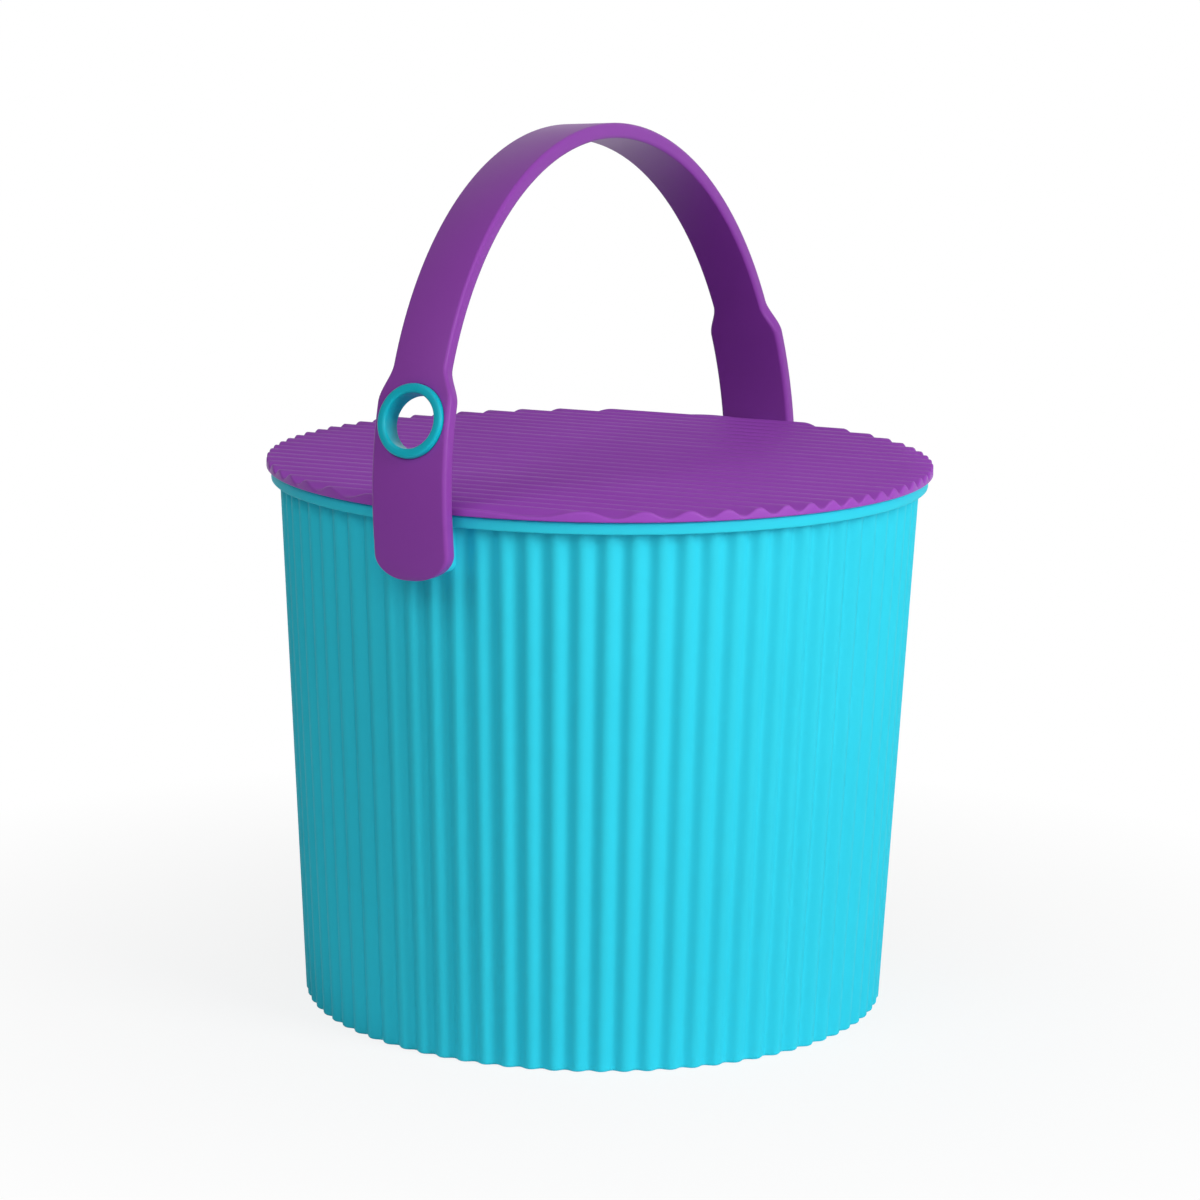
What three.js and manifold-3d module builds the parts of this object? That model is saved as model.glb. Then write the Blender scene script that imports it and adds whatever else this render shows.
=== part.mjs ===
// A fluted plastic bucket with a ridged lid and a strap handle that swings on two studs.
// Millimetres, +Z up. The origin is the centre of the base, on the surface it stands on.
// X runs through the two handle studs. The leg with the ring is on the -X side.

import * as THREE from 'three';
import { ParametricGeometry } from 'three/addons/geometries/ParametricGeometry.js';
import { mergeVertices } from 'three/addons/utils/BufferGeometryUtils.js';
import Module from 'manifold-3d';

const wasm = await Module();
wasm.setup();

const WELD = 1e-4; // points closer than this are one point

// Clearances
const REST_GAP = 0.3; // between parts that rest on or run against each other
const LID_CLEARANCE = 0.8; // lid skirt to the inside of the mouth

// Bucket wall and floor
const BUCKET_HEIGHT = 226.5; // to the top of the rim
const BASE_RADIUS = 123.4; // over the flute crests at the base
const MOUTH_RADIUS = 134.6; // over the flute crests at the rim
const WALL = 2.2;
const FLOOR = 2.5;
const BASE_CORNER = 1.2;
const FOOT_HEIGHT = 1.5; // the underside is recessed inside a standing ring
const FOOT_WIDTH = 7;
const FLOOR_FILLET = 3;
const MOUTH_FADE = 3; // height over which the inner flutes run out below the rim

// Flutes
const FLUTE_COUNT = 80;
const FLUTE_DEPTH = 2.1;
const FLUTE_SHARPNESS = 2.4; // above 2 the crest is broader than the valley
const OUTER_STEPS = 6; // facets to a flute outside
const INNER_STEPS = 4; // facets to a flute inside

// Rim
const RIM_REACH = 3.4; // past the flute crests
const RIM_DROP = 4.9;
const RIM_THICKNESS = 1.8;
const RIM_ROUND = 0.6;
const RIM_SEGMENTS = 120;

// Handle pads and studs, one on each side
const PIVOT_DROP = 7.5; // stud centre below the rim top
const PAD_INSET = 5.5; // from each edge of the handle leg
const PAD_DROP = 16; // pad bottom below the stud centre
const PAD_CORNER = 4;
const HUB_RADIUS = 7;
const STUD_RADIUS = 5;
const STUD_LENGTH = 3.5; // into the handle's socket
const ROUND_SEGMENTS = 48;

// Lid
const LID_OVERHANG = 2; // past the rim
const LID_PLATE = 1.6; // at the valleys between the ridges
const RIDGE_HEIGHT = 2.8;
const RIDGE_PITCH = 9.72;
const RIDGE_SHIFT = 4.57; // nearest ridge crest to the lid's centre
const RIDGE_STEPS = 6; // facets to a ridge
const LID_TURN = 8.1; // degrees that the lid lies turned from square to the handle
const LID_SEGMENTS = 144;
const SKIRT_DEPTH = 6;
const SKIRT_WALL = 2;

// Handle
const HANDLE_CLEARANCE = 2.6; // lid edge to the inside of the strap
const STRAP_THICKNESS = 6.4;
const STRAP_WIDTH = 24.6; // over the arch
const LEG_WIDTH = 34.2; // at the two ends
const STRAP_ROUND = 1.8; // rounding along the strap's edges
const ARCH_LIFT = 2; // arch centre above the stud centre
const TAIL_DROP = 18.3; // end of the leg below the stud centre
const TAIL_ROUND = 10.5; // height of the rounded end
const SHOULDER_START = 49; // along the strap from the foot of the arch
const SHOULDER_LENGTH = 15;
const SOCKET_PLAY = 0.3;
const HANDLE_LEAN = 4; // degrees from upright towards +Y, as it stands at rest

// Ring in the -X leg
const RING_RADIUS = 14.8;
const RING_BORE = 11;
const RING_BARREL = 12.7;
const RING_LIP = 13.9; // snap lip on the inner side
const RING_PROUD = 1.9;
const RING_SEAT = 1; // depth of the seat in the outer face
const RING_LIP_THICKNESS = 0.8;
const RING_ROUND = 0.6;
const RING_PLACE = 41.6; // centre along the strap from the foot of the arch

// Worked out from the above
const pivotHeight = BUCKET_HEIGHT - PIVOT_DROP;
const rimRadius = MOUTH_RADIUS + RIM_REACH;
const lidBottom = BUCKET_HEIGHT + REST_GAP;
const lidRadius = rimRadius + LID_OVERHANG;
const archInner = lidRadius + HANDLE_CLEARANCE;
const archRadius = archInner + STRAP_THICKNESS / 2;
const archHeight = pivotHeight + ARCH_LIFT;
const archLength = Math.PI * archRadius;
const tailLength = TAIL_DROP + ARCH_LIFT;
const padFace = rimRadius;
const padWidth = LEG_WIDTH - 2 * PAD_INSET;
const mouthInner = MOUTH_RADIUS - WALL - FLUTE_DEPTH / 3;

function crestRadius(z) {
  return BASE_RADIUS + (MOUTH_RADIUS - BASE_RADIUS) * (z / BUCKET_HEIGHT);
}

function degrees(value) {
  return THREE.MathUtils.degToRad(value);
}

// Booleans between closed geometries

function toSolid(geometry) {
  const bare = geometry.clone();
  bare.deleteAttribute('normal');
  bare.deleteAttribute('uv');
  const merged = mergeVertices(bare, WELD);
  const index = merged.getIndex().array;
  const triangles = [];
  for (let i = 0; i < index.length; i += 3) {
    const [a, b, c] = [index[i], index[i + 1], index[i + 2]];
    if (a !== b && b !== c && c !== a) {
      triangles.push(a, b, c);
    }
  }
  const vertProperties = new Float32Array(merged.getAttribute('position').array);
  const triVerts = new Uint32Array(triangles);
  return new wasm.Manifold(new wasm.Mesh({ numProp: 3, vertProperties, triVerts }));
}

function toGeometry(solid) {
  const mesh = solid.getMesh();
  const geometry = new THREE.BufferGeometry();
  geometry.setAttribute('position', new THREE.BufferAttribute(mesh.vertProperties, mesh.numProp));
  geometry.setIndex(new THREE.BufferAttribute(mesh.triVerts, 1));
  const shaded = geometry.toNonIndexed();
  shaded.computeVertexNormals();
  return shaded;
}

// A profile of [radius, height] points turned about Z, with the first facet at +X.
function turned(profile, segments) {
  const points = profile.map(([radius, height]) => new THREE.Vector2(radius, height));
  const geometry = new THREE.LatheGeometry(points, segments, Math.PI / 2);
  geometry.rotateX(Math.PI / 2);
  return geometry;
}

// A round bar along X from x = start to x = end.
function crossBar(radius, start, end) {
  const geometry = new THREE.CylinderGeometry(radius, radius, end - start, ROUND_SEGMENTS);
  geometry.rotateZ(Math.PI / 2);
  geometry.translate((start + end) / 2, 0, 0);
  return geometry;
}

// Bucket body

function fluteInset(angle, depth) {
  const turn = (angle / (2 * Math.PI)) * FLUTE_COUNT;
  return depth * Math.pow(Math.abs(Math.sin(Math.PI * turn)), FLUTE_SHARPNESS);
}

// A turned solid whose points sink into flutes between the heights from and to.
function flutedSolid(profile, segments, from, to) {
  const geometry = turned(profile, segments);
  const position = geometry.getAttribute('position');
  for (let i = 0; i < position.count; i += 1) {
    const x = position.getX(i);
    const y = position.getY(i);
    const z = position.getZ(i);
    const radius = Math.hypot(x, y);
    if (radius > BASE_RADIUS / 2 && z > from - WELD && z < to + WELD) {
      const scale = 1 - fluteInset(Math.atan2(y, x), FLUTE_DEPTH) / radius;
      position.setXYZ(i, x * scale, y * scale, z);
    }
  }
  return toSolid(geometry);
}

function outerForm() {
  const top = BUCKET_HEIGHT - RIM_THICKNESS / 2;
  const profile = [
    [0, 0],
    [crestRadius(0) - BASE_CORNER, 0],
    [crestRadius(BASE_CORNER), BASE_CORNER],
    [crestRadius(top), top],
    [0, top],
  ];
  return flutedSolid(profile, FLUTE_COUNT * OUTER_STEPS, 0, top);
}

function cavityForm() {
  const floorTop = FOOT_HEIGHT + FLOOR;
  const bandStart = BUCKET_HEIGHT - RIM_DROP;
  const flutesEnd = bandStart - MOUTH_FADE;
  const filletTop = floorTop + FLOOR_FILLET;
  const above = BUCKET_HEIGHT + RIM_DROP;
  const profile = [
    [0, floorTop],
    [crestRadius(floorTop) - WALL - FLOOR_FILLET, floorTop],
    [crestRadius(filletTop) - WALL, filletTop],
    [crestRadius(flutesEnd) - WALL, flutesEnd],
    [mouthInner, bandStart],
    [mouthInner, above],
    [0, above],
  ];
  return flutedSolid(profile, FLUTE_COUNT * INNER_STEPS, floorTop, flutesEnd);
}

function rimForm() {
  const top = BUCKET_HEIGHT;
  const skirtInner = rimRadius - RIM_THICKNESS;
  const root = mouthInner - WALL / 2;
  const profile = [
    [root, top - RIM_THICKNESS],
    [skirtInner, top - RIM_THICKNESS],
    [skirtInner, top - RIM_DROP],
    [rimRadius, top - RIM_DROP],
    [rimRadius, top - RIM_ROUND],
    [rimRadius - RIM_ROUND, top],
    [root, top],
    [root, top - RIM_THICKNESS],
  ];
  return toSolid(turned(profile, RIM_SEGMENTS));
}

// The flat pad that joins the wall and the rim behind a handle leg, on the +X side.
function padForm() {
  const half = padWidth / 2;
  const bottom = pivotHeight - PAD_DROP;
  const top = BUCKET_HEIGHT - RIM_THICKNESS / 2;
  const shape = new THREE.Shape();
  shape.moveTo(half, top);
  shape.lineTo(-half, top);
  shape.lineTo(-half, bottom + PAD_CORNER);
  shape.absarc(-half + PAD_CORNER, bottom + PAD_CORNER, PAD_CORNER, Math.PI, 1.5 * Math.PI, false);
  shape.absarc(half - PAD_CORNER, bottom + PAD_CORNER, PAD_CORNER, 1.5 * Math.PI, 2 * Math.PI, false);
  shape.closePath();
  const root = BASE_RADIUS - WALL - FLUTE_DEPTH;
  const settings = { depth: padFace - root, bevelEnabled: false, curveSegments: 6 };
  const geometry = new THREE.ExtrudeGeometry(shape, settings);
  geometry.rotateX(Math.PI / 2);
  geometry.rotateZ(Math.PI / 2);
  geometry.translate(root, 0, 0);
  return toSolid(geometry);
}

// The hub that spaces the leg off the pad, with the stud that enters its socket.
function studForm() {
  const hub = crossBar(HUB_RADIUS, padFace - WALL, archInner - REST_GAP);
  const stud = crossBar(STUD_RADIUS, padFace - WALL, archInner + STUD_LENGTH);
  hub.translate(0, 0, pivotHeight);
  stud.translate(0, 0, pivotHeight);
  return toSolid(hub).add(toSolid(stud));
}

function bucketBody() {
  const mount = padForm().add(studForm());
  const opposite = mount.rotate([0, 0, 180]);
  const recessRadius = BASE_RADIUS - FOOT_WIDTH;
  const recess = turned(
    [[0, -FOOT_HEIGHT], [recessRadius, -FOOT_HEIGHT], [recessRadius, FOOT_HEIGHT], [0, FOOT_HEIGHT]],
    RIM_SEGMENTS,
  );
  const body = outerForm().add(rimForm()).add(mount).add(opposite);
  return body.subtract(cavityForm()).subtract(toSolid(recess));
}

// Lid

function ridgeHeight(across) {
  return (RIDGE_HEIGHT / 2) * (1 + Math.cos((2 * Math.PI * (across - RIDGE_SHIFT)) / RIDGE_PITCH));
}

function lidForm() {
  const half = lidRadius + RIDGE_PITCH;
  const step = RIDGE_PITCH / RIDGE_STEPS;
  const count = Math.ceil((2 * half) / step);
  const start = RIDGE_SHIFT - Math.ceil(half / RIDGE_PITCH) * RIDGE_PITCH;
  const shape = new THREE.Shape();
  shape.moveTo(start, 0);
  shape.lineTo(start + count * step, 0);
  for (let i = count; i >= 0; i -= 1) {
    const across = start + i * step;
    shape.lineTo(across, LID_PLATE + ridgeHeight(across));
  }
  shape.closePath();
  const ridged = new THREE.ExtrudeGeometry(shape, { depth: 2 * half, bevelEnabled: false });
  ridged.rotateX(Math.PI / 2);
  ridged.translate(0, half, 0);
  const tall = LID_PLATE + 2 * RIDGE_HEIGHT;
  const disc = turned([[0, -tall], [lidRadius, -tall], [lidRadius, tall], [0, tall]], LID_SEGMENTS);
  const skirtOuter = mouthInner - WALL / 2 - LID_CLEARANCE;
  const skirtInner = skirtOuter - SKIRT_WALL;
  const seat = LID_PLATE / 2;
  const skirt = turned(
    [[skirtInner, -SKIRT_DEPTH], [skirtOuter, -SKIRT_DEPTH], [skirtOuter, seat],
      [skirtInner, seat], [skirtInner, -SKIRT_DEPTH]],
    LID_SEGMENTS,
  );
  const plate = toSolid(ridged).intersect(toSolid(disc));
  return plate.add(toSolid(skirt));
}

// Handle

// Half the strap's width at a distance along it from the foot of the arch.
function halfWidth(along) {
  const leg = LEG_WIDTH / 2;
  const fromEnd = along + tailLength;
  if (fromEnd < TAIL_ROUND) {
    const rise = 1 - fromEnd / TAIL_ROUND;
    return leg * Math.sqrt(Math.max(0, 1 - rise * rise));
  }
  const shoulder = THREE.MathUtils.smoothstep(along, SHOULDER_START, SHOULDER_START + SHOULDER_LENGTH);
  return leg - (shoulder * (LEG_WIDTH - STRAP_WIDTH)) / 2;
}

// Half its thickness, which rounds off at the very end of a leg.
function halfThickness(along) {
  const fromEnd = along + tailLength;
  const half = STRAP_THICKNESS / 2;
  if (fromEnd >= STRAP_ROUND) {
    return half;
  }
  const rise = 1 - Math.max(0, fromEnd) / STRAP_ROUND;
  return half - STRAP_ROUND * (1 - Math.sqrt(1 - rise * rise));
}

// Places along one half of the strap, closer together where its outline bends.
function stations() {
  const list = [];
  const endSteps = 7;
  for (let i = 0; i < endSteps; i += 1) {
    list.push(-tailLength + TAIL_ROUND * (1 - Math.cos((i / endSteps) * (Math.PI / 2))));
  }
  list.push(-tailLength + TAIL_ROUND, 0);
  const legSteps = 5;
  for (let i = 1; i <= legSteps; i += 1) {
    list.push((i / legSteps) * SHOULDER_START);
  }
  const shoulderSteps = 6;
  for (let i = 1; i <= shoulderSteps; i += 1) {
    list.push(SHOULDER_START + (i / shoulderSteps) * SHOULDER_LENGTH);
  }
  const shoulderEnd = SHOULDER_START + SHOULDER_LENGTH;
  const archSteps = 13;
  for (let i = 1; i <= archSteps; i += 1) {
    list.push(shoulderEnd + (i / archSteps) * (archLength / 2 - shoulderEnd));
  }
  return list;
}

// The strap's rounded-rectangle section: [across, out] points, anticlockwise.
function sectionPoint(index, steps, wide, thick) {
  const corner = Math.floor(index / steps);
  const angle = (corner + (index % steps) / (steps - 1)) * (Math.PI / 2);
  const round = Math.min(STRAP_ROUND, wide, thick);
  const right = corner === 0 || corner === 3 ? 1 : -1;
  const up = corner < 2 ? 1 : -1;
  return [
    right * (wide - round) + round * Math.cos(angle),
    up * (thick - round) + round * Math.sin(angle),
  ];
}

function strapForm() {
  const half = stations();
  const mirrored = half.slice(0, -1).reverse().map((along) => archLength - along);
  const places = half.concat(mirrored);
  const cornerSteps = 4;
  const around = 4 * cornerSteps;
  const point = (u, v, target) => {
    const along = places[Math.round(v * (places.length - 1))];
    const nearest = Math.min(along, archLength - along);
    const index = Math.round(u * around) % around;
    const [across, out] = sectionPoint(index, cornerSteps, halfWidth(nearest), halfThickness(nearest));
    const turn = THREE.MathUtils.clamp(along / archRadius, 0, Math.PI);
    const radius = archRadius + out;
    const below = Math.min(0, nearest);
    target.set(-radius * Math.cos(turn), across, archHeight + radius * Math.sin(turn) + below);
  };
  return toSolid(new ParametricGeometry(point, around, places.length - 1));
}

// Moves something made along +Z, with its middle at the strap's centre line, to the ring's place.
function atRingPlace(geometry) {
  const turn = RING_PLACE / archRadius;
  geometry.rotateY(turn - Math.PI / 2);
  geometry.translate(-archRadius * Math.cos(turn), 0, archHeight + archRadius * Math.sin(turn));
  return geometry;
}

function disc(radius, from, to) {
  return turned([[0, from], [radius, from], [radius, to], [0, to]], ROUND_SEGMENTS);
}

function leaned(solid) {
  return solid
    .translate([0, 0, -pivotHeight])
    .rotate([-HANDLE_LEAN, 0, 0])
    .translate([0, 0, pivotHeight]);
}

function handleForm() {
  const half = STRAP_THICKNESS / 2;
  const clear = STRAP_THICKNESS;
  const hole = atRingPlace(disc(RING_BARREL + REST_GAP, -clear, clear));
  const outerSeat = atRingPlace(disc(RING_RADIUS + REST_GAP, half - RING_SEAT, clear));
  const innerSeat = atRingPlace(disc(RING_LIP + REST_GAP, -clear, -half));
  const socketEnd = archInner + STUD_LENGTH + SOCKET_PLAY;
  const socket = crossBar(STUD_RADIUS + SOCKET_PLAY, archInner - REST_GAP, socketEnd);
  socket.translate(0, 0, pivotHeight);
  const cut = toSolid(socket);
  const handle = strapForm()
    .subtract(toSolid(hole))
    .subtract(toSolid(outerSeat))
    .subtract(toSolid(innerSeat))
    .subtract(cut)
    .subtract(cut.rotate([0, 0, 180]));
  return leaned(handle);
}

function ringForm() {
  const half = STRAP_THICKNESS / 2;
  const face = half + RING_PROUD;
  const flangeBack = half - RING_SEAT + REST_GAP;
  const lipFront = -half - REST_GAP;
  const lipBack = lipFront - RING_LIP_THICKNESS;
  const profile = [
    [RING_BORE, lipBack],
    [RING_LIP, lipBack],
    [RING_LIP, lipFront],
    [RING_BARREL, lipFront],
    [RING_BARREL, flangeBack],
    [RING_RADIUS, flangeBack],
    [RING_RADIUS, face - RING_ROUND],
    [RING_RADIUS - RING_ROUND, face],
    [RING_BORE, face],
    [RING_BORE, lipBack],
  ];
  return leaned(toSolid(atRingPlace(turned(profile, ROUND_SEGMENTS))));
}

// The finished parts

const teal = { color: '#1fb9d0', roughness: 0.42, metalness: 0 };
const deepTeal = { color: '#0f9fae', roughness: 0.35, metalness: 0 };
const purple = { color: '#7a3a99', roughness: 0.45, metalness: 0 };

function part(name, solid, finish) {
  const mesh = new THREE.Mesh(toGeometry(solid), new THREE.MeshStandardMaterial(finish));
  mesh.name = name;
  return mesh;
}

const lid = part('lid', lidForm(), purple);
lid.rotation.z = degrees(LID_TURN);
lid.position.z = lidBottom;

const group = new THREE.Group();
group.add(part('bucket_body', bucketBody(), teal));
group.add(lid);
group.add(part('handle', handleForm(), purple));
group.add(part('handle_ring', ringForm(), deepTeal));

export default group;
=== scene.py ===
import math

import bmesh
import bpy
from mathutils import Matrix, Vector


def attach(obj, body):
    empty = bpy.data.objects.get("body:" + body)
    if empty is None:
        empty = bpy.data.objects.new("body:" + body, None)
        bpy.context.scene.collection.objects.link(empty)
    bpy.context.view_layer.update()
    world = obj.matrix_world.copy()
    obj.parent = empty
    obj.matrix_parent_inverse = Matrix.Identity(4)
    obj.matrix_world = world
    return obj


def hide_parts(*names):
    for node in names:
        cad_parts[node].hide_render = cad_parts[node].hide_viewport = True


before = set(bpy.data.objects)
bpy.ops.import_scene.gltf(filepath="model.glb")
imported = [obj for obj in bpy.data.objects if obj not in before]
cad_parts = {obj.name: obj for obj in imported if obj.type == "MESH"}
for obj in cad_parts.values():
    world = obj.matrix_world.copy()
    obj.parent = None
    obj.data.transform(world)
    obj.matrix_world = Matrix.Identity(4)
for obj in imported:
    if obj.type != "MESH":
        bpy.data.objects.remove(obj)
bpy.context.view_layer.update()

# A fluted plastic bucket with a ridged lid, and a strap handle that swings on two studs.
# All sizes below are millimetres and degrees. A finished mesh is in metres.
# X runs through the two studs, and the leg with the ring is on the -X side.
MM = 0.001

# Clearances
REST_GAP = 0.3  # between parts that rest on or run against each other
SOCKET_PLAY = 0.3
LID_CLEARANCE = 0.8  # lid skirt to the inside of the mouth
HANDLE_CLEARANCE = 2.6  # lid edge to the inside of the strap

# Tolerances
NEAR = 0.05  # a point within this of a surface belongs to it
TOUCH = 0.01  # points closer than this are one point
LEAST_INSET = 0.001  # a shallower dent isn't pressed

# Bucket wall, floor and rim
BUCKET_HEIGHT = 226.5  # to the top of the rim
BASE_RADIUS = 123.4  # over the flute crests at the base
MOUTH_RADIUS = 134.6  # over the flute crests at the rim
WALL = 2.2
FLOOR = 2.5
FOOT_HEIGHT = 1.5  # the underside is recessed inside a standing ring
FOOT_WIDTH = 7.0
FLOOR_TOP = FOOT_HEIGHT + FLOOR
FOOT_INNER = BASE_RADIUS - FOOT_WIDTH
FLOOR_CENTRE = 30.0  # radius of the last ring before a flat middle is closed
BASE_ROUND = 1.5
FLOOR_FILLET = 3.0
RIM_REACH = 3.4  # past the flute crests
RIM_RADIUS = MOUTH_RADIUS + RIM_REACH
RIM_DROP = 4.9
RIM_THICKNESS = 1.8
RIM_ROUND = 0.8
SMALL_ROUND = 0.3  # every small moulded edge

# Flutes
FLUTE_COUNT = 80
FLUTE_STEPS = 12
FLUTE_DEPTH = 2.1
FLUTE_SHARPNESS = 2.4  # above 2 the crest is broader than the valley
MOUTH_FADE = 3.0  # from the top of the full inner flutes to the rim's band
INNER_TOP = BUCKET_HEIGHT - RIM_DROP - MOUTH_FADE
FADES = ((1.1, 0.8), (2.1, 0.4))  # above INNER_TOP: the height, and the share of the depth left there
FADE_RINGS = tuple((INNER_TOP + rise, share) for rise, share in FADES)
MOUTH_INNER = MOUTH_RADIUS - WALL - FLUTE_DEPTH / 3

# Lid
LID_OVERHANG = 2.0  # past the rim
LID_RADIUS = RIM_RADIUS + LID_OVERHANG
LID_BOTTOM = BUCKET_HEIGHT + REST_GAP
LID_PLATE = 1.6  # at the valleys between the ridges
LID_ROUND = 1.1
LID_TURN = 8.1  # how far the lid lies turned from square to the handle
LID_COLUMNS = 400
LID_ROWS = 24
RIDGE_HEIGHT = 2.8
RIDGE_PITCH = 9.72
RIDGE_SHIFT = 4.57  # nearest ridge crest to the lid's centre
SKIRT_OUTER = MOUTH_INNER - WALL / 2 - LID_CLEARANCE
SKIRT_WALL = 2.0
SKIRT_INNER = SKIRT_OUTER - SKIRT_WALL
SKIRT_DEPTH = 6.0

# Handle
PIVOT_DROP = 7.5  # stud centre below the rim top
PIVOT_HEIGHT = BUCKET_HEIGHT - PIVOT_DROP
STRAP_THICKNESS = 6.4
HALF_STRAP = STRAP_THICKNESS / 2
STRAP_WIDTH = 24.6  # over the arch
LEG_WIDTH = 34.2  # at the two ends
STRAP_ROUND = 1.8  # rounding along the strap's edges
ARCH_LIFT = 2.0  # arch centre above the stud centre
ARCH_RADIUS = LID_RADIUS + HANDLE_CLEARANCE + HALF_STRAP
ARCH_HEIGHT = PIVOT_HEIGHT + ARCH_LIFT
ARCH_LENGTH = math.pi * ARCH_RADIUS
TAIL_DROP = 18.3  # end of the leg below the stud centre
TAIL_LENGTH = TAIL_DROP + ARCH_LIFT
TAIL_ROUND = 10.5  # height of the rounded end
TAIL_PAUSE = 4.0  # a station this far above the rounded end
SHOULDER_START = 49.0  # along the strap from the foot of the arch
SHOULDER_LENGTH = 15.0
HANDLE_LEAN = 4.0  # from upright towards +Y, as it stands at rest

# Handle pads and studs, one on each side
PAD_INSET = 5.5  # from each edge of the handle leg
PAD_WIDTH = LEG_WIDTH - 2 * PAD_INSET
PAD_DROP = 16.0  # pad bottom below the stud centre
PAD_BOTTOM = PIVOT_HEIGHT - PAD_DROP
PAD_CORNER = 4.0
PAD_EDGE = 0.7
HUB_RADIUS = 7.0
STUD_RADIUS = 5.0
STUD_LENGTH = 3.5  # into the handle's socket

# Ring in the -X leg. Heights are from the middle of the strap's thickness.
RING_RADIUS = 14.8
RING_BORE = 11.0
RING_BARREL = 12.7
RING_LIP = 13.9  # snap lip on the inner side
RING_LIP_THICKNESS = 0.8
RING_PROUD = 1.9
RING_SEAT = 1.0  # depth of the seat in the strap's outer face
RING_ROUND = 1.2
RING_PLACE = 41.6  # centre along the strap from the foot of the arch
RING_FACE = HALF_STRAP + RING_PROUD
SEAT_HEIGHT = HALF_STRAP - RING_SEAT
LIP_FRONT = -HALF_STRAP - REST_GAP
RING_BACK = LIP_FRONT - RING_LIP_THICKNESS

# Steps round corners and circles
SMALL_STEPS = 2
LIP_STEPS = 3
ROUND_STEPS = 4
FILLET_STEPS = 5
PAD_CORNER_STEPS = 8
PAD_EDGE_STEPS = 3
STRAP_EDGE_STEPS = 6
STUD_SEGMENTS = 64
HOLE_SEGMENTS = 96
RING_SEGMENTS = 128

# Steps along the strap: its rounded end, its leg, its shoulder and half its arch
TAIL_STEPS = 20
LEG_STEPS = 14
SHOULDER_STEPS = 14
ARCH_STEPS = 44

# The plastic's finish, the same on every piece
PLASTIC_IOR = 1.49
CLOUD_SIZE = 60.0
CLOUD_MATT = 0.05  # how far the cloud lowers the roughness
CLOUD_ROUGH = 0.07  # how far it raises it
GRAIN_DEPTH = 0.05
GRAIN_STRENGTH = 0.12

# The photograph's camera: its distance, height and direction from the bucket's axis
CAMERA_DISTANCE = 1582.4
CAMERA_HEIGHT = 478.2
CAMERA_AZIMUTH = 60.28
CAMERA_PITCH = 11.05
CAMERA_ROLL = 0.81
CAMERA_YAW = 0.03
CAMERA_LENS = 114.0
SENSOR_WIDTH = 36.0
CAMERA_REACH = 50000.0

# Lamps: place as the camera sees it (right, away, up), side of the square, watts
LAMPS = (
    ("key", (1500, -1150, 850), 800, 21.5),
    ("high key", (1200, -1000, 1500), 900, 8.5),
    ("front", (0, -1700, 1000), 900, 5.5),
    ("fill", (-1000, -1200, 1500), 1000, 8.0),
)
SOFT_LIGHT = 0.02  # light that the surroundings add from all sides
WHITE = 1.0  # strength at which a background shows as white
WHITE_COLOUR = (1, 1, 1, 1)

# Floor
FLOOR_SIZE = 12000.0
PAPER_COLOUR = "#F4F4F4"
SHADOW_NEAR = 125.0  # up to this far from the axis the contact shadow shows most
SHADOW_FAR = 420.0  # from here on the floor is plain white
SHADOW_SHARE = 0.85  # share of plain white near the foot


# Modelling helpers


def use_mode(mode):
    bpy.ops.object.mode_set(mode=mode)


def clear_selection():
    if bpy.context.object and bpy.context.object.mode != "OBJECT":
        use_mode("OBJECT")
    bpy.ops.object.select_all(action="DESELECT")


def only(piece):
    clear_selection()
    piece.select_set(True)
    bpy.context.view_layer.objects.active = piece


def new_piece(name):
    piece = bpy.context.object
    piece.name = name
    piece.data.name = name
    return piece


def mesh_in_hand(piece):
    return bmesh.from_edit_mesh(piece.data)


def select_points(piece, wanted):
    """Selects the points whose place, in millimetres, passes the test."""
    shape = mesh_in_hand(piece)
    for point in shape.verts:
        point.select = wanted(*(point.co / MM))
    shape.select_flush_mode()
    bmesh.update_edit_mesh(piece.data)


def select_edges(piece, wanted):
    """Selects the edges whose two ends, in millimetres, pass the test."""
    bpy.ops.mesh.select_mode(type="EDGE")
    shape = mesh_in_hand(piece)
    for edge in shape.edges:
        edge.select = wanted(*(point.co / MM for point in edge.verts))
    bmesh.update_edit_mesh(piece.data)


def select_open_edge(piece):
    bpy.ops.mesh.select_mode(type="EDGE")
    shape = mesh_in_hand(piece)
    for edge in shape.edges:
        edge.select = edge.is_boundary
    shape.select_flush_mode()
    bmesh.update_edit_mesh(piece.data)


def move(x=0.0, y=0.0, z=0.0):
    bpy.ops.transform.translate(value=(x * MM, y * MM, z * MM))


def stretch(x=1.0, y=1.0, z=1.0, about=(0.0, 0.0, 0.0)):
    centre = tuple(value * MM for value in about)
    bpy.ops.transform.resize(value=(x, y, z), center_override=centre)


def extrude_edges(x=0.0, y=0.0, z=0.0):
    bpy.ops.mesh.extrude_edges_move(TRANSFORM_OT_translate={"value": (x * MM, y * MM, z * MM)})


def pull_ring(profile):
    """Extrudes the selected ring of edges from each (radius, height) to the next."""
    for (radius, height), (next_radius, next_height) in zip(profile, profile[1:]):
        extrude_edges(z=next_height - height)
        stretch(next_radius / radius, next_radius / radius)


def arc(centre, radius, start, end, steps):
    """(radius, height) points round a corner, from one angle to another."""
    points = []
    for i in range(steps + 1):
        angle = math.radians(start + (end - start) * i / steps)
        points.append((centre[0] + radius * math.cos(angle), centre[1] + radius * math.sin(angle)))
    return points


def face_outwards():
    """Merges doubled points, turns all faces outwards and leaves edit mode."""
    bpy.ops.mesh.select_mode(type="VERT")
    bpy.ops.mesh.select_all(action="SELECT")
    bpy.ops.mesh.remove_doubles(threshold=TOUCH * MM)
    bpy.ops.mesh.normals_make_consistent(inside=False)
    use_mode("OBJECT")


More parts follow.
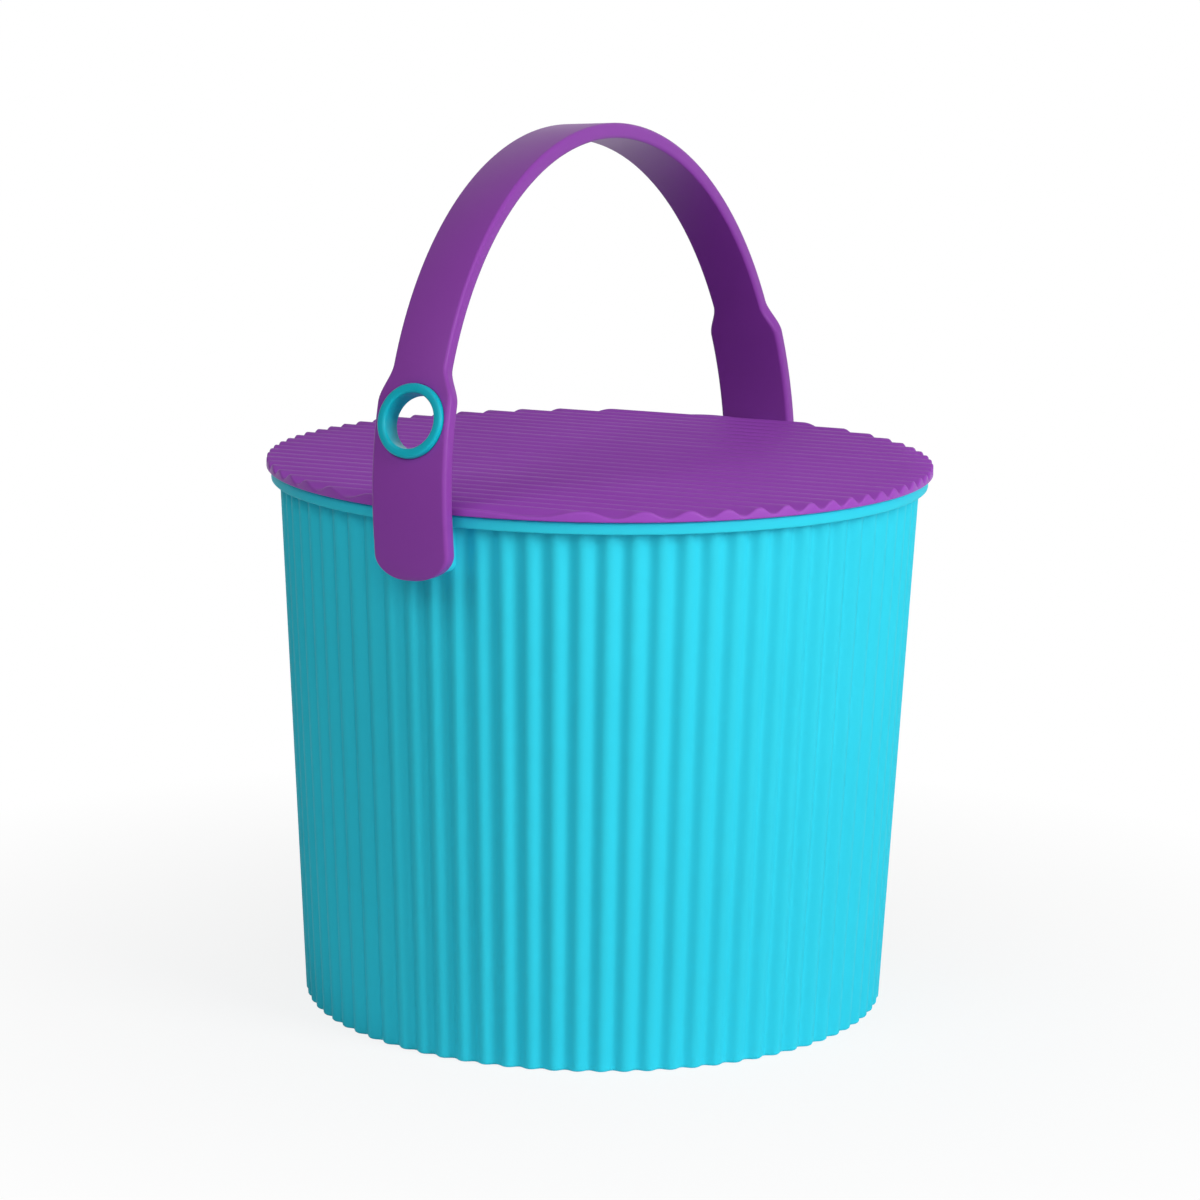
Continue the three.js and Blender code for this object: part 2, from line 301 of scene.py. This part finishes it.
def turned(name, profile, segments, ring=False):
    """A profile of (radius, height) points carried round Z: a ring, or a form closed at both ends."""
    clear_selection()
    fill = "NOTHING" if ring else "NGON"
    radius, height = profile[0]
    bpy.ops.mesh.primitive_circle_add(vertices=segments, radius=radius * MM, fill_type=fill)
    piece = new_piece(name)
    use_mode("EDIT")
    bpy.ops.mesh.select_all(action="SELECT")
    bpy.ops.transform.rotate(value=math.pi / 2, orient_axis="Z", center_override=(0, 0, 0))
    move(z=height)
    if not ring:
        bpy.ops.mesh.select_mode(type="EDGE")
        bpy.ops.mesh.select_all(action="SELECT")
    pull_ring(profile)
    if not ring:
        bpy.ops.mesh.edge_face_add()
    face_outwards()
    return piece


def settle(piece):
    """Moves a piece's place and turn into its mesh."""
    only(piece)
    bpy.ops.object.transform_apply(location=True, rotation=True, scale=True)


def combine(piece, tool, operation):
    """Joins a tool to a piece, or cuts it away, and removes the tool."""
    cut = piece.modifiers.new(operation.lower(), "BOOLEAN")
    cut.operation = operation
    cut.object = tool
    cut.solver = "EXACT"
    only(piece)
    bpy.ops.object.modifier_apply(modifier=cut.name)
    bpy.data.objects.remove(tool)


def smooth(piece, angle=35.0):
    only(piece)
    bpy.ops.object.shade_smooth_by_angle(angle=math.radians(angle))


# Bucket body


def crest_radius(z):
    return BASE_RADIUS + (MOUTH_RADIUS - BASE_RADIUS) * z / BUCKET_HEIGHT


def flute_inset(step):
    return FLUTE_DEPTH * math.sin(math.pi * step / FLUTE_STEPS) ** FLUTE_SHARPNESS


def rim_profile():
    """From under the rim, down inside it, round its lower edge and over its top to the mouth."""
    inner = RIM_RADIUS - RIM_THICKNESS
    bottom = BUCKET_HEIGHT - RIM_DROP
    under = BUCKET_HEIGHT - RIM_THICKNESS
    lip = 2 * SMALL_ROUND
    points = [
        (crest_radius(bottom), bottom),
        (crest_radius(under), under - SMALL_ROUND),
        (crest_radius(under) + SMALL_ROUND, under),
        (inner - SMALL_ROUND, under),
        (inner, under - SMALL_ROUND),
    ]
    points += arc((inner + SMALL_ROUND, bottom + SMALL_ROUND), SMALL_ROUND, 180, 270, SMALL_STEPS)
    points += arc((RIM_RADIUS - lip, bottom + lip), lip, 270, 360, LIP_STEPS)
    top = BUCKET_HEIGHT - RIM_ROUND
    points += arc((RIM_RADIUS - RIM_ROUND, top), RIM_ROUND, 0, 90, ROUND_STEPS)
    points += arc((MOUTH_INNER + RIM_ROUND, top), RIM_ROUND, 90, 180, ROUND_STEPS)
    points.append((MOUTH_INNER, bottom))
    return points


def body_profile():
    """From the middle of the underside, up the outside, over the rim and down to the floor."""
    points = [(FLOOR_CENTRE, FOOT_HEIGHT)]
    points += arc((FOOT_INNER - SMALL_ROUND, FOOT_HEIGHT - SMALL_ROUND), SMALL_ROUND, 90, 0, SMALL_STEPS)
    points += arc((FOOT_INNER + SMALL_ROUND, SMALL_ROUND), SMALL_ROUND, 180, 270, SMALL_STEPS)
    points += arc((crest_radius(BASE_ROUND) - BASE_ROUND, BASE_ROUND), BASE_ROUND, -90, 0, ROUND_STEPS)
    points += rim_profile()
    points += [(crest_radius(z) - WALL, z) for z, share in reversed(FADE_RINGS)]
    points.append((crest_radius(INNER_TOP) - WALL, INNER_TOP))
    fillet_top = FLOOR_TOP + FLOOR_FILLET
    corner = crest_radius(fillet_top) - WALL
    points += arc((corner - FLOOR_FILLET, fillet_top), FLOOR_FILLET, 0, -90, FILLET_STEPS)
    points.append((FLOOR_CENTRE, FLOOR_TOP))
    return points


def flute_groups(shape):
    """The wall's points between the flute crests, inside and out, grouped by how far they sink."""
    columns = FLUTE_COUNT * FLUTE_STEPS
    shares = {round(z, 2): share for z, share in FADE_RINGS}
    foot_edge = BASE_RADIUS - BASE_ROUND - NEAR
    fillet_edge = BASE_RADIUS - WALL - FLOOR_FILLET - NEAR
    inner_end = FADE_RINGS[-1][0] + NEAR
    groups = {}
    for point in shape.verts:
        x, y, z = point.co / MM
        radius = math.hypot(x, y)
        outer = abs(radius - crest_radius(z)) < NEAR or z < BASE_ROUND - NEAR and radius > foot_edge
        inner = FLOOR_TOP - NEAR < z < inner_end and radius > fillet_edge
        if not (outer or inner):
            continue
        share = 1.0 if outer else shares.get(round(z, 2), 1.0)
        step = round(math.atan2(y, x) / (2 * math.pi) * columns) % FLUTE_STEPS
        inset = share * flute_inset(step)
        if inset > LEAST_INSET:
            groups.setdefault((round(inset, 4), round(radius)), []).append(point)
    return groups


def press_flutes(piece):
    """Draws each group of points in towards the axis, as deep as its place in a flute asks."""
    only(piece)
    use_mode("EDIT")
    shape = mesh_in_hand(piece)  # held to the end, because the points last only as long as it does
    groups = flute_groups(shape)
    bpy.ops.mesh.select_all(action="DESELECT")
    chosen = []
    for (inset, radius), points in groups.items():
        for point in chosen:
            point.select = False
        for point in points:
            point.select = True
        chosen = points
        factor = 1 - inset / radius
        stretch(factor, factor)
    use_mode("OBJECT")


def side_pad(side):
    """The flat pad behind a handle leg, from the wall out to the rim."""
    root = BASE_RADIUS + WALL
    top = BUCKET_HEIGHT - RIM_THICKNESS / 2
    clear_selection()
    bpy.ops.mesh.primitive_cube_add(size=1)
    piece = new_piece("pad_tool")
    use_mode("EDIT")
    bpy.ops.mesh.select_all(action="SELECT")
    stretch((RIM_RADIUS - root) * MM, PAD_WIDTH * MM, (top - PAD_BOTTOM) * MM)
    move(x=(RIM_RADIUS + root) / 2, z=(top + PAD_BOTTOM) / 2)

    def bottom_corner(one, other):
        low = max(one.z, other.z) < PAD_BOTTOM + TOUCH
        return low and abs(one.x - other.x) > TOUCH

    def front_edge(one, other):
        front = min(one.x, other.x) > RIM_RADIUS - TOUCH
        return front and min(one.z, other.z) < top - TOUCH

    select_edges(piece, bottom_corner)
    bpy.ops.mesh.bevel(offset=PAD_CORNER * MM, segments=PAD_CORNER_STEPS)
    select_edges(piece, front_edge)
    bpy.ops.mesh.bevel(offset=PAD_EDGE * MM, segments=PAD_EDGE_STEPS)
    bpy.ops.mesh.select_mode(type="VERT")
    use_mode("OBJECT")
    piece.rotation_euler = (0, 0, 0 if side > 0 else math.pi)
    settle(piece)
    return piece


def side_stud(side):
    """The hub and stud that a handle leg turns on."""
    length = LID_RADIUS + HANDLE_CLEARANCE - SOCKET_PLAY - RIM_RADIUS
    profile = [
        (HUB_RADIUS, -WALL),
        (HUB_RADIUS, length - SMALL_ROUND),
        (HUB_RADIUS - SMALL_ROUND, length),
        (STUD_RADIUS, length),
        (STUD_RADIUS, length + STUD_LENGTH),
        (STUD_RADIUS / 2, length + STUD_LENGTH),
    ]
    piece = turned("stud_tool", profile, STUD_SEGMENTS)
    piece.rotation_euler = (0, math.pi / 2 * side, 0)
    piece.location = (RIM_RADIUS * side * MM, 0, PIVOT_HEIGHT * MM)
    settle(piece)
    return piece


def make_bucket():
    piece = turned("bucket_shell", body_profile(), FLUTE_COUNT * FLUTE_STEPS)
    press_flutes(piece)
    for side in (1, -1):
        combine(piece, side_pad(side), "UNION")
        combine(piece, side_stud(side), "UNION")
    smooth(piece)
    return piece


# Lid


def ridge_height(across):
    return RIDGE_HEIGHT / 2 * (1 + math.cos(2 * math.pi * (across - RIDGE_SHIFT) / RIDGE_PITCH))


def lid_sheet():
    """The ridged top: a line of edges pulled across the disc, each step as long as the disc is wide."""
    reach = LID_RADIUS - LID_ROUND
    turns = [math.pi * i / LID_COLUMNS for i in range(1, LID_COLUMNS)]
    places = [-reach * math.cos(turn) for turn in turns]
    chords = [2 * math.sqrt(reach ** 2 - place ** 2) for place in places]
    clear_selection()
    plane_side = 1 / MM
    bpy.ops.mesh.primitive_plane_add(size=plane_side * MM)
    piece = new_piece("ridged_lid")
    use_mode("EDIT")
    select_points(piece, lambda x, y, z: x > 0)
    bpy.ops.mesh.delete(type="VERT")
    bpy.ops.mesh.select_all(action="SELECT")
    bpy.ops.mesh.subdivide(number_cuts=LID_ROWS - 1)
    stretch(y=1 / plane_side)
    bpy.ops.mesh.select_all(action="SELECT")
    move(x=places[0] + plane_side / 2, z=LID_PLATE + ridge_height(places[0]))
    stretch(y=chords[0])
    for i in range(1, len(places)):
        rise = ridge_height(places[i]) - ridge_height(places[i - 1])
        extrude_edges(x=places[i] - places[i - 1], z=rise)
        stretch(y=chords[i] / chords[i - 1])
    return piece


def make_lid():
    piece = lid_sheet()
    select_open_edge(piece)
    pull_ring(arc((LID_RADIUS - LID_ROUND, 0), LID_ROUND, 90, 0, ROUND_STEPS))
    # The edge still follows the ridges here, so its copy is flattened to one level ring
    extrude_edges()
    stretch(z=0)
    move(z=SMALL_ROUND)
    pull_ring([
        (LID_RADIUS, SMALL_ROUND),
        (LID_RADIUS - SMALL_ROUND, 0),
        (SKIRT_OUTER + SMALL_ROUND, 0),
        (SKIRT_OUTER, -SMALL_ROUND),
        (SKIRT_OUTER, SMALL_ROUND - SKIRT_DEPTH),
        (SKIRT_OUTER - SMALL_ROUND, -SKIRT_DEPTH),
        (SKIRT_INNER + SMALL_ROUND, -SKIRT_DEPTH),
        (SKIRT_INNER, SMALL_ROUND - SKIRT_DEPTH),
        (SKIRT_INNER, -SMALL_ROUND),
        (SKIRT_INNER - SMALL_ROUND, 0),
        (FLOOR_CENTRE, 0),
    ])
    bpy.ops.mesh.edge_face_add()
    face_outwards()
    piece.rotation_euler = (0, 0, math.radians(LID_TURN))
    piece.location = (0, 0, LID_BOTTOM * MM)
    settle(piece)
    smooth(piece)
    return piece


# Handle


def half_width(along):
    """Half the strap's width, at a distance from the foot of the arch."""
    leg = LEG_WIDTH / 2
    from_end = along + TAIL_LENGTH
    if from_end < TAIL_ROUND:
        return leg * math.sqrt(max(0.0, 1 - (1 - from_end / TAIL_ROUND) ** 2))
    blend = min(1.0, max(0.0, (along - SHOULDER_START) / SHOULDER_LENGTH))
    blend = blend * blend * (3 - 2 * blend)
    return leg - blend * (LEG_WIDTH - STRAP_WIDTH) / 2


def half_thickness(along):
    """Half the strap's thickness, which is rounded off at the end of the leg."""
    from_end = along + TAIL_LENGTH
    if from_end >= STRAP_ROUND:
        return HALF_STRAP
    rise = 1 - max(0.0, from_end) / STRAP_ROUND
    return HALF_STRAP - STRAP_ROUND * (1 - math.sqrt(1 - rise * rise))


def strap_stations():
    """Places along the strap from one end to the other, closer where its outline bends."""
    rounded = [math.pi / 2 * i / TAIL_STEPS for i in range(1, TAIL_STEPS + 1)]
    places = [-TAIL_LENGTH + TAIL_ROUND * (1 - math.cos(turn)) for turn in rounded]
    places += [-TAIL_LENGTH + TAIL_ROUND + TAIL_PAUSE, 0.0]
    stretches = (
        (0.0, SHOULDER_START, LEG_STEPS),
        (SHOULDER_START, SHOULDER_START + SHOULDER_LENGTH, SHOULDER_STEPS),
        (SHOULDER_START + SHOULDER_LENGTH, ARCH_LENGTH / 2, ARCH_STEPS),
    )
    for start, end, steps in stretches:
        places += [start + (end - start) * i / steps for i in range(1, steps + 1)]
    return places + [ARCH_LENGTH - place for place in reversed(places[:-1])]


def pull_strap(start, end):
    """Extrudes the strap's section from one place along it to the next."""
    up_one_leg = min(0.0, end) - min(0.0, start)
    down_the_other = max(0.0, end - ARCH_LENGTH) - max(0.0, start - ARCH_LENGTH)
    extrude_edges(z=up_one_leg - down_the_other)
    bend = (min(ARCH_LENGTH, max(0.0, end)) - min(ARCH_LENGTH, max(0.0, start))) / ARCH_RADIUS
    if bend > 0:
        centre = (0, 0, ARCH_HEIGHT * MM)
        bpy.ops.transform.rotate(value=-bend, orient_axis="Y", center_override=centre)
    before = min(start, ARCH_LENGTH - start)
    after = min(end, ARCH_LENGTH - end)
    wider = half_width(after) / half_width(before)
    thicker = half_thickness(after) / half_thickness(before)
    side = -ARCH_RADIUS if end < ARCH_LENGTH / 2 else ARCH_RADIUS
    stretch(thicker, wider, about=(side, 0, 0))


def make_strap():
    """A rounded section pulled up one leg, over the arch and down the other."""
    places = strap_stations()
    first = places[0]
    clear_selection()
    bpy.ops.mesh.primitive_plane_add(size=2)
    piece = new_piece("strap_handle")
    use_mode("EDIT")
    bpy.ops.mesh.select_all(action="SELECT")
    stretch(HALF_STRAP * MM, LEG_WIDTH / 2 * MM)
    bpy.ops.mesh.bevel(affect="VERTICES", offset=STRAP_ROUND * MM, segments=STRAP_EDGE_STEPS)
    bpy.ops.mesh.select_all(action="SELECT")
    stretch(half_thickness(first) / HALF_STRAP, half_width(first) * 2 / LEG_WIDTH)
    move(x=-ARCH_RADIUS, z=ARCH_HEIGHT + first)
    bpy.ops.mesh.select_mode(type="EDGE")
    bpy.ops.mesh.select_all(action="SELECT")
    for start, end in zip(places, places[1:]):
        pull_strap(start, end)
    bpy.ops.mesh.edge_face_add()
    face_outwards()
    return piece


def at_ring_place(piece):
    """Moves a part made along Z to the ring's place in the strap."""
    turn = RING_PLACE / ARCH_RADIUS
    across = -ARCH_RADIUS * math.cos(turn)
    up = ARCH_HEIGHT + ARCH_RADIUS * math.sin(turn)
    piece.rotation_euler = (0, turn - math.pi / 2, 0)
    piece.location = (across * MM, 0, up * MM)
    settle(piece)
    return piece


def lean(piece):
    """Turns a piece about the studs to the angle at which the handle stands."""
    pivot = Vector((0, 0, PIVOT_HEIGHT * MM))
    turn = Matrix.Rotation(math.radians(-HANDLE_LEAN), 4, "X")
    piece.matrix_world = Matrix.Translation(pivot) @ turn @ Matrix.Translation(-pivot)
    settle(piece)
    return piece


def round_tool(radius, low, high):
    profile = [(radius / 2, low), (radius, low), (radius, high), (radius / 2, high)]
    return turned("round_tool", profile, HOLE_SEGMENTS)


def make_handle():
    piece = make_strap()
    clear = STRAP_THICKNESS
    holes = (
        (RING_LIP + REST_GAP, -clear, -HALF_STRAP),
        (RING_RADIUS + REST_GAP, SEAT_HEIGHT, clear),
        (RING_BARREL + REST_GAP, -2 * clear, 2 * clear),
    )
    for radius, low, high in holes:
        combine(piece, at_ring_place(round_tool(radius, low, high)), "DIFFERENCE")
    for side in (1, -1):
        socket = round_tool(STUD_RADIUS + SOCKET_PLAY, -SOCKET_PLAY, STUD_LENGTH + SOCKET_PLAY)
        socket.rotation_euler = (0, math.pi / 2 * side, 0)
        socket.location = ((ARCH_RADIUS - HALF_STRAP) * side * MM, 0, PIVOT_HEIGHT * MM)
        settle(socket)
        combine(piece, socket, "DIFFERENCE")
    lean(piece)
    smooth(piece)
    return piece


def make_ring():
    """The snap-in ring: a flat face with rounded edges, a barrel and a small lip inside."""
    flange_back = SEAT_HEIGHT + REST_GAP
    shoulder = RING_FACE - RING_ROUND
    profile = [
        (RING_BORE + SMALL_ROUND, RING_BACK),
        (RING_LIP - SMALL_ROUND, RING_BACK),
        (RING_LIP, RING_BACK + SMALL_ROUND),
        (RING_LIP, LIP_FRONT),
        (RING_BARREL, LIP_FRONT),
        (RING_BARREL, flange_back),
        (RING_RADIUS, flange_back),
    ]
    profile += arc((RING_RADIUS - RING_ROUND, shoulder), RING_ROUND, 0, 90, FILLET_STEPS)
    profile += arc((RING_BORE + RING_ROUND, shoulder), RING_ROUND, 90, 180, FILLET_STEPS)
    profile += [(RING_BORE, RING_BACK + SMALL_ROUND), (RING_BORE + SMALL_ROUND, RING_BACK)]
    piece = turned("grip_ring", profile, RING_SEGMENTS, ring=True)
    at_ring_place(piece)
    lean(piece)
    smooth(piece)
    return piece


# Materials


def linear(code):
    """An sRGB hex colour as the linear values that the shaders take."""
    values = [int(code[i:i + 2], 16) / 255 for i in (1, 3, 5)]
    return tuple(v / 12.92 if v <= 0.04045 else ((v + 0.055) / 1.055) ** 2.4 for v in values) + (1.0,)


def add_node(tree, kind, settings=None, values=None, links=None):
    """Adds a node with its settings, its input values and the links into it."""
    node = tree.nodes.new(kind)
    for name, value in (settings or {}).items():
        setattr(node, name, value)
    for name, value in (values or {}).items():
        node.inputs[name].default_value = value
    for name, source in (links or {}).items():
        tree.links.new(source, node.inputs[name])
    return node


def empty_tree(owner):
    owner.use_nodes = True
    owner.node_tree.nodes.clear()
    return owner.node_tree


def moulded_polypropylene(name, colour, shade, roughness, gloss, grain):
    """Polypropylene from a satin mould: a soft sheen that spreads each highlight, an even colour
    with a faint cloud in it, and a fine spark-eroded grain drawn coarse enough to show."""
    material = bpy.data.materials.new(name)
    tree = empty_tree(material)
    place = add_node(tree, "ShaderNodeTexCoord").outputs["Object"]
    cloud = add_node(tree, "ShaderNodeTexNoise", values={"Scale": 1 / (CLOUD_SIZE * MM), "Detail": 2.0},
                     links={"Vector": place}).outputs["Fac"]
    tint = add_node(tree, "ShaderNodeMix", {"data_type": "RGBA"}, links={"Factor": cloud})
    tint.inputs[6].default_value = linear(colour)
    tint.inputs[7].default_value = linear(shade)
    fine = add_node(tree, "ShaderNodeTexNoise", values={"Scale": 1 / (grain * MM), "Detail": 3.0},
                    links={"Vector": place}).outputs["Fac"]
    sheen = add_node(tree, "ShaderNodeMapRange",
                     values={"To Min": roughness - CLOUD_MATT, "To Max": roughness + CLOUD_ROUGH},
                     links={"Value": cloud}).outputs["Result"]
    bump = add_node(tree, "ShaderNodeBump",
                    values={"Strength": GRAIN_STRENGTH, "Distance": GRAIN_DEPTH * MM},
                    links={"Height": fine}).outputs["Normal"]
    shader = add_node(tree, "ShaderNodeBsdfPrincipled",
                      values={"IOR": PLASTIC_IOR, "Specular IOR Level": gloss},
                      links={"Base Color": tint.outputs[2], "Roughness": sheen, "Normal": bump})
    add_node(tree, "ShaderNodeOutputMaterial", links={"Surface": shader.outputs["BSDF"]})
    return material


def finish_with(piece, material):
    piece.data.materials.clear()
    piece.data.materials.append(material)


# Stage, lights and camera


def from_camera(right, away, up):
    """A point given as the camera sees it, in millimetres from the bucket's axis, in the frame's metres."""
    turn = Matrix.Rotation(math.radians(-CAMERA_AZIMUTH), 3, "Z")
    return turn @ Vector((right, away, up)) * MM


def straight_sight(tree):
    """1 for what the camera sees, also off a glossy surface or through a clear one, and else 0."""
    path = add_node(tree, "ShaderNodeLightPath").outputs
    by_surface = add_node(tree, "ShaderNodeMath", {"operation": "MAXIMUM"},
                          links={0: path["Is Glossy Ray"], 1: path["Is Transmission Ray"]})
    sight = add_node(tree, "ShaderNodeMath", {"operation": "MAXIMUM"},
                     links={0: path["Is Camera Ray"], 1: by_surface.outputs["Value"]})
    return sight.outputs["Value"]


def backdrop_paper(name):
    """White paper: plain white to the camera and in reflections away from the bucket, and near
    its foot partly lit paper, so that the contact shadow still shows."""
    material = bpy.data.materials.new(name)
    tree = empty_tree(material)
    place = add_node(tree, "ShaderNodeTexCoord").outputs["Object"]
    reach = add_node(tree, "ShaderNodeVectorMath", {"operation": "LENGTH"}, links={"Vector": place})
    share = add_node(tree, "ShaderNodeMapRange",
                     values={"From Min": SHADOW_NEAR * MM, "From Max": SHADOW_FAR * MM,
                             "To Min": SHADOW_SHARE, "To Max": 1.0},
                     links={"Value": reach.outputs["Value"]})
    white = add_node(tree, "ShaderNodeMath", {"operation": "MULTIPLY"},
                     links={0: straight_sight(tree), 1: share.outputs["Result"]})
    glow = add_node(tree, "ShaderNodeEmission", values={"Color": WHITE_COLOUR, "Strength": WHITE})
    paper = add_node(tree, "ShaderNodeBsdfDiffuse", values={"Color": linear(PAPER_COLOUR)})
    mix = add_node(tree, "ShaderNodeMixShader",
                   links={0: white.outputs["Value"], 1: paper.outputs["BSDF"], 2: glow.outputs["Emission"]})
    add_node(tree, "ShaderNodeOutputMaterial", links={"Surface": mix.outputs["Shader"]})
    return material


def make_floor():
    clear_selection()
    bpy.ops.mesh.primitive_plane_add(size=FLOOR_SIZE * MM)
    floor = new_piece("studio_floor")
    finish_with(floor, backdrop_paper("white_paper"))


def make_world():
    """A faint even light, behind which the background itself shows white."""
    world = bpy.data.worlds.new("studio")
    bpy.context.scene.world = world
    tree = empty_tree(world)
    soft = add_node(tree, "ShaderNodeBackground", values={"Color": WHITE_COLOUR, "Strength": SOFT_LIGHT})
    white = add_node(tree, "ShaderNodeBackground", values={"Color": WHITE_COLOUR, "Strength": WHITE})
    mix = add_node(tree, "ShaderNodeMixShader",
                   links={0: straight_sight(tree), 1: soft.outputs["Background"],
                          2: white.outputs["Background"]})
    add_node(tree, "ShaderNodeOutputWorld", links={"Surface": mix.outputs["Shader"]})


def soft_lamp(name, place, size, watts):
    """A square softbox that faces the middle of the bucket."""
    light = bpy.data.lights.new(name, "AREA")
    light.shape = "SQUARE"
    light.size = size * MM
    light.energy = watts
    lamp = bpy.data.objects.new(name, light)
    bpy.context.scene.collection.objects.link(lamp)
    aim = Vector((0, 0, BUCKET_HEIGHT / 2 * MM))
    lamp.location = from_camera(*place)
    lamp.rotation_euler = (aim - lamp.location).to_track_quat("-Z", "Y").to_euler()


def make_camera():
    camera_data = bpy.data.cameras.new("camera")
    camera_data.lens = CAMERA_LENS
    camera_data.sensor_width = SENSOR_WIDTH
    camera_data.clip_end = CAMERA_REACH * MM
    camera = bpy.data.objects.new("camera", camera_data)
    bpy.context.scene.collection.objects.link(camera)
    heading = Matrix.Rotation(math.radians(-CAMERA_AZIMUTH - CAMERA_YAW), 4, "Z")
    tilt = Matrix.Rotation(math.radians(90 - CAMERA_PITCH), 4, "X")
    roll = Matrix.Rotation(math.radians(CAMERA_ROLL), 4, "Z")
    place = Matrix.Translation(from_camera(0, -CAMERA_DISTANCE, CAMERA_HEIGHT))
    camera.matrix_world = place @ heading @ tilt @ roll
    bpy.context.scene.camera = camera


bucket = make_bucket()
lid = make_lid()
strap = make_handle()
ring = make_ring()

# The bucket: a matt turquoise that hardly mirrors anything
teal = moulded_polypropylene("moulded_polypropylene_teal", colour="#33D2E8", shade="#30CDE4",
                             roughness=0.5, gloss=0.08, grain=0.9)
# The lid: a satin purple whose ridges catch a pale line of light
purple = moulded_polypropylene("moulded_polypropylene_purple", colour="#9B4ABA", shade="#9646B4",
                               roughness=0.44, gloss=0.2, grain=0.9)
# The strap: the lid's purple painted a little darker as painted shade, and smoother where hands hold it
strap_purple_with_painted_shade = moulded_polypropylene("moulded_polypropylene_strap_purple", colour="#8E41A8",
                                     shade="#893DA3", roughness=0.4, gloss=0.18, grain=0.9)
# The ring: a deeper teal from a smoother mould, with the clearest highlights
deep_teal = moulded_polypropylene("moulded_polypropylene_deep_teal", colour="#06B8CA",
                                  shade="#05AEC3", roughness=0.34, gloss=0.2, grain=0.7)

for piece, node, body, slot, material in (
    (bucket, "bucket_body", "bucket", "teal_plastic", teal),
    (lid, "lid", "bucket", "purple_plastic", purple),
    (strap, "handle", "carry_handle", "purple_plastic", strap_purple_with_painted_shade),
    (ring, "handle_ring", "carry_handle", "deep_teal_plastic", deep_teal),
):
    finish_with(piece, material)
    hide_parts(node)
    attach(piece, body)

make_floor()
make_world()
for name, place, size, watts in LAMPS:
    soft_lamp(name, place, size, watts)
make_camera()
bpy.context.scene.view_settings.view_transform = "Standard"
